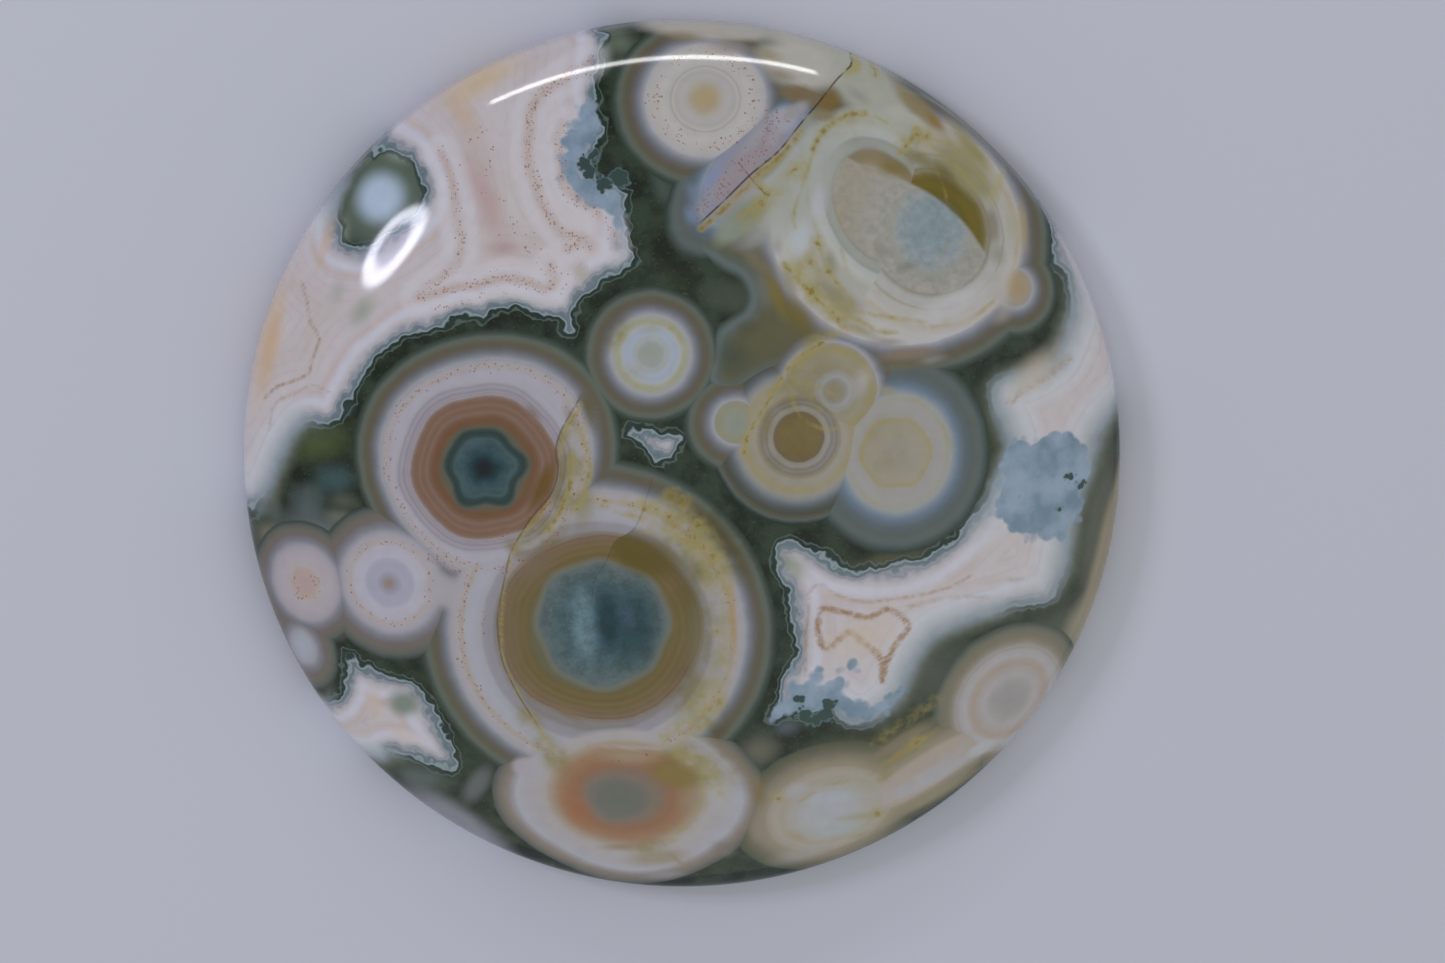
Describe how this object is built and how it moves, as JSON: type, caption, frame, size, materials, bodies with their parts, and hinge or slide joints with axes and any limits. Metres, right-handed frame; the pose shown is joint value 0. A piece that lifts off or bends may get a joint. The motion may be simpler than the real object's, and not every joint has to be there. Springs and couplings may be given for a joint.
{
  "type": "ocean jasper cabochon",
  "caption": "Round polished ocean jasper cabochon with a low dome, a thin girdle and a flat back to rest on or set.",
  "frame": {"origin": "centre of the flat back, on the surface that the stone rests on", "axes": "+Z out of the flat back through the crown of the dome, +Y towards the top of the face as it is seen"},
  "size_m": [0.045, 0.045, 0.007],
  "materials": {
    "jasper": "polished"
  },
  "bodies": {
    "root": {"stone": "jasper"}
  },
  "joints": []
}
